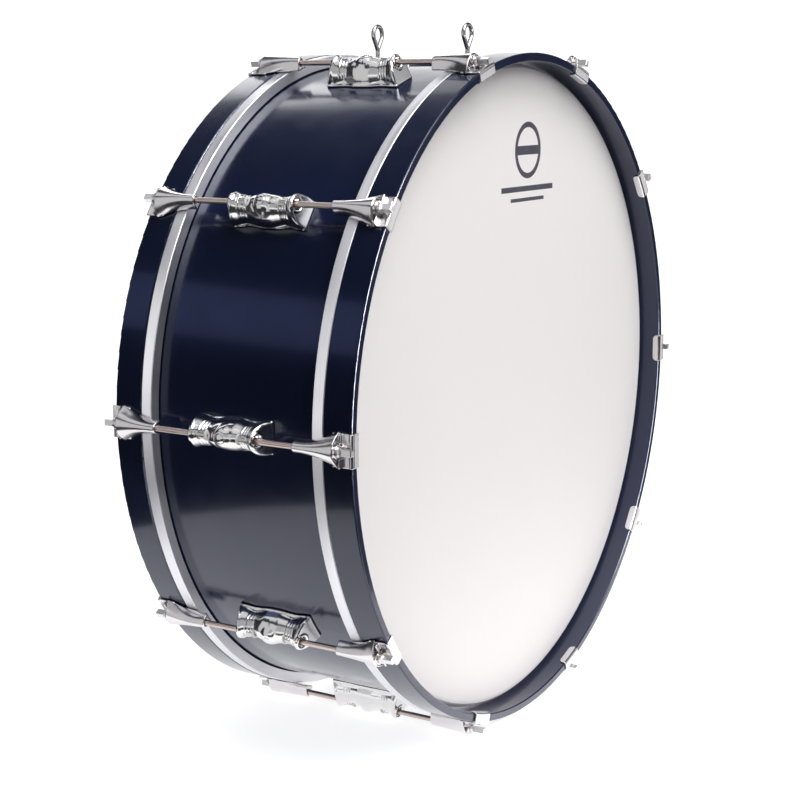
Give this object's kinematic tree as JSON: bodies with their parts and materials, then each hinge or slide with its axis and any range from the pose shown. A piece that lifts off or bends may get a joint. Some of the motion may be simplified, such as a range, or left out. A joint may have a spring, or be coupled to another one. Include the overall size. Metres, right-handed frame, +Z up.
{
  "type": "bass drum",
  "caption": "Shallow marching bass drum: a lacquered shell with two white heads, held by wooden hoops, claws and tension rods over twin-ended lugs, with two carrying eyes on top.",
  "frame": {"origin": "on the floor, under the middle of the drum as it stands on its two hoops", "axes": "+Z up, +Y along the drum's axis from the front head to the rear head, +X to the right as seen from the front"},
  "size_m": [0.7704, 0.297, 0.7702],
  "materials": {
    "shell_lacquer": "gloss navy lacquer over plywood",
    "hoop_lacquer": "gloss navy lacquer over wood",
    "chrome": "polished chrome on a casting",
    "nickel": "polished nickel plate",
    "rod_steel": "nickel-plated steel",
    "steel": "zinc-plated steel",
    "flesh_hoop": "satin",
    "film": "smooth white polyester film",
    "gasket": "matt",
    "nylon": "plain"
  },
  "bodies": {
    "shell_assembly": {"eye_bolt_lock_nuts": "steel", "eye_bolt_nuts": "steel", "eye_bolt_seats": "steel", "eye_bolt_washers": "steel", "front_eye_bolt": "steel", "lug_01": "chrome", "lug_02": "chrome", "lug_03": "chrome", "lug_04": "chrome", "lug_05": "chrome", "lug_06": "chrome", "lug_07": "chrome", "lug_08": "chrome", "lug_09": "chrome", "lug_10": "chrome", "lug_gaskets": "gasket", "lug_screw_washers": "steel", "lug_screws": "steel", "nut_keepers": "nylon", "rear_eye_bolt": "steel", "shell": "shell_lacquer", "swivel_nuts": "steel", "vent_eyelet": "nickel", "vent_washer": "steel"},
    "front_hoop_assembly": {"front_hoop": "hoop_lacquer", "front_flesh_hoop": "flesh_hoop", "front_head": "film", "front_claws": "nickel", "front_rod_washers": "rod_steel"},
    "front_rod_01": {"front_rod_01": "rod_steel"},
    "front_rod_02": {"front_rod_02": "rod_steel"},
    "front_rod_03": {"front_rod_03": "rod_steel"},
    "front_rod_04": {"front_rod_04": "rod_steel"},
    "front_rod_05": {"front_rod_05": "rod_steel"},
    "front_rod_06": {"front_rod_06": "rod_steel"},
    "front_rod_07": {"front_rod_07": "rod_steel"},
    "front_rod_08": {"front_rod_08": "rod_steel"},
    "front_rod_09": {"front_rod_09": "rod_steel"},
    "front_rod_10": {"front_rod_10": "rod_steel"},
    "rear_hoop_assembly": {"rear_hoop": "hoop_lacquer", "rear_flesh_hoop": "flesh_hoop", "rear_head": "film", "rear_claws": "nickel", "rear_rod_washers": "rod_steel"},
    "rear_rod_01": {"rear_rod_01": "rod_steel"},
    "rear_rod_02": {"rear_rod_02": "rod_steel"},
    "rear_rod_03": {"rear_rod_03": "rod_steel"},
    "rear_rod_04": {"rear_rod_04": "rod_steel"},
    "rear_rod_05": {"rear_rod_05": "rod_steel"},
    "rear_rod_06": {"rear_rod_06": "rod_steel"},
    "rear_rod_07": {"rear_rod_07": "rod_steel"},
    "rear_rod_08": {"rear_rod_08": "rod_steel"},
    "rear_rod_09": {"rear_rod_09": "rod_steel"},
    "rear_rod_10": {"rear_rod_10": "rod_steel"}
  },
  "joints": [
    {"name": "front_hoop_travel", "type": "slide", "parent": "shell_assembly", "child": "front_hoop_assembly", "axis": [0, -1, 0], "range_m": [0, 0.012]},
    {"name": "rear_hoop_travel", "type": "slide", "parent": "shell_assembly", "child": "rear_hoop_assembly", "axis": [0, 1, 0], "range_m": [0, 0.012]},
    {"name": "front_rod_01_turn", "type": "hinge", "parent": "front_hoop_assembly", "child": "front_rod_01", "pos_m": [0.11635, -0.12, 0.72657], "axis": [0, -1, 0], "range_deg": [0, 4320]},
    {"name": "front_rod_02_turn", "type": "hinge", "parent": "front_hoop_assembly", "child": "front_rod_02", "pos_m": [0.3046, -0.12, 0.5898], "axis": [0, -1, 0], "range_deg": [0, 4320]},
    {"name": "front_rod_03_turn", "type": "hinge", "parent": "front_hoop_assembly", "child": "front_rod_03", "pos_m": [0.3765, -0.12, 0.3685], "axis": [0, -1, 0], "range_deg": [0, 4320]},
    {"name": "front_rod_04_turn", "type": "hinge", "parent": "front_hoop_assembly", "child": "front_rod_04", "pos_m": [0.3046, -0.12, 0.1472], "axis": [0, -1, 0], "range_deg": [0, 4320]},
    {"name": "front_rod_05_turn", "type": "hinge", "parent": "front_hoop_assembly", "child": "front_rod_05", "pos_m": [0.11635, -0.12, 0.01043], "axis": [0, -1, 0], "range_deg": [0, 4320]},
    {"name": "front_rod_06_turn", "type": "hinge", "parent": "front_hoop_assembly", "child": "front_rod_06", "pos_m": [-0.11635, -0.12, 0.01043], "axis": [0, -1, 0], "range_deg": [0, 4320]},
    {"name": "front_rod_07_turn", "type": "hinge", "parent": "front_hoop_assembly", "child": "front_rod_07", "pos_m": [-0.3046, -0.12, 0.1472], "axis": [0, -1, 0], "range_deg": [0, 4320]},
    {"name": "front_rod_08_turn", "type": "hinge", "parent": "front_hoop_assembly", "child": "front_rod_08", "pos_m": [-0.3765, -0.12, 0.3685], "axis": [0, -1, 0], "range_deg": [0, 4320]},
    {"name": "front_rod_09_turn", "type": "hinge", "parent": "front_hoop_assembly", "child": "front_rod_09", "pos_m": [-0.3046, -0.12, 0.5898], "axis": [0, -1, 0], "range_deg": [0, 4320]},
    {"name": "front_rod_10_turn", "type": "hinge", "parent": "front_hoop_assembly", "child": "front_rod_10", "pos_m": [-0.11635, -0.12, 0.72657], "axis": [0, -1, 0], "range_deg": [0, 4320]},
    {"name": "rear_rod_01_turn", "type": "hinge", "parent": "rear_hoop_assembly", "child": "rear_rod_01", "pos_m": [0.11635, 0.12, 0.72657], "axis": [0, 1, 0], "range_deg": [0, 4320]},
    {"name": "rear_rod_02_turn", "type": "hinge", "parent": "rear_hoop_assembly", "child": "rear_rod_02", "pos_m": [0.3046, 0.12, 0.5898], "axis": [0, 1, 0], "range_deg": [0, 4320]},
    {"name": "rear_rod_03_turn", "type": "hinge", "parent": "rear_hoop_assembly", "child": "rear_rod_03", "pos_m": [0.3765, 0.12, 0.3685], "axis": [0, 1, 0], "range_deg": [0, 4320]},
    {"name": "rear_rod_04_turn", "type": "hinge", "parent": "rear_hoop_assembly", "child": "rear_rod_04", "pos_m": [0.3046, 0.12, 0.1472], "axis": [0, 1, 0], "range_deg": [0, 4320]},
    {"name": "rear_rod_05_turn", "type": "hinge", "parent": "rear_hoop_assembly", "child": "rear_rod_05", "pos_m": [0.11635, 0.12, 0.01043], "axis": [0, 1, 0], "range_deg": [0, 4320]},
    {"name": "rear_rod_06_turn", "type": "hinge", "parent": "rear_hoop_assembly", "child": "rear_rod_06", "pos_m": [-0.11635, 0.12, 0.01043], "axis": [0, 1, 0], "range_deg": [0, 4320]},
    {"name": "rear_rod_07_turn", "type": "hinge", "parent": "rear_hoop_assembly", "child": "rear_rod_07", "pos_m": [-0.3046, 0.12, 0.1472], "axis": [0, 1, 0], "range_deg": [0, 4320]},
    {"name": "rear_rod_08_turn", "type": "hinge", "parent": "rear_hoop_assembly", "child": "rear_rod_08", "pos_m": [-0.3765, 0.12, 0.3685], "axis": [0, 1, 0], "range_deg": [0, 4320]},
    {"name": "rear_rod_09_turn", "type": "hinge", "parent": "rear_hoop_assembly", "child": "rear_rod_09", "pos_m": [-0.3046, 0.12, 0.5898], "axis": [0, 1, 0], "range_deg": [0, 4320]},
    {"name": "rear_rod_10_turn", "type": "hinge", "parent": "rear_hoop_assembly", "child": "rear_rod_10", "pos_m": [-0.11635, 0.12, 0.72657], "axis": [0, 1, 0], "range_deg": [0, 4320]}
  ],
  "couplings": [
    {"joint": "front_rod_01_turn", "follows": "front_hoop_travel", "rad_per_m": 6283.2},
    {"joint": "front_rod_02_turn", "follows": "front_hoop_travel", "rad_per_m": 6283.2},
    {"joint": "front_rod_03_turn", "follows": "front_hoop_travel", "rad_per_m": 6283.2},
    {"joint": "front_rod_04_turn", "follows": "front_hoop_travel", "rad_per_m": 6283.2},
    {"joint": "front_rod_05_turn", "follows": "front_hoop_travel", "rad_per_m": 6283.2},
    {"joint": "front_rod_06_turn", "follows": "front_hoop_travel", "rad_per_m": 6283.2},
    {"joint": "front_rod_07_turn", "follows": "front_hoop_travel", "rad_per_m": 6283.2},
    {"joint": "front_rod_08_turn", "follows": "front_hoop_travel", "rad_per_m": 6283.2},
    {"joint": "front_rod_09_turn", "follows": "front_hoop_travel", "rad_per_m": 6283.2},
    {"joint": "front_rod_10_turn", "follows": "front_hoop_travel", "rad_per_m": 6283.2},
    {"joint": "rear_rod_01_turn", "follows": "rear_hoop_travel", "rad_per_m": 6283.2},
    {"joint": "rear_rod_02_turn", "follows": "rear_hoop_travel", "rad_per_m": 6283.2},
    {"joint": "rear_rod_03_turn", "follows": "rear_hoop_travel", "rad_per_m": 6283.2},
    {"joint": "rear_rod_04_turn", "follows": "rear_hoop_travel", "rad_per_m": 6283.2},
    {"joint": "rear_rod_05_turn", "follows": "rear_hoop_travel", "rad_per_m": 6283.2},
    {"joint": "rear_rod_06_turn", "follows": "rear_hoop_travel", "rad_per_m": 6283.2},
    {"joint": "rear_rod_07_turn", "follows": "rear_hoop_travel", "rad_per_m": 6283.2},
    {"joint": "rear_rod_08_turn", "follows": "rear_hoop_travel", "rad_per_m": 6283.2},
    {"joint": "rear_rod_09_turn", "follows": "rear_hoop_travel", "rad_per_m": 6283.2},
    {"joint": "rear_rod_10_turn", "follows": "rear_hoop_travel", "rad_per_m": 6283.2}
  ]
}
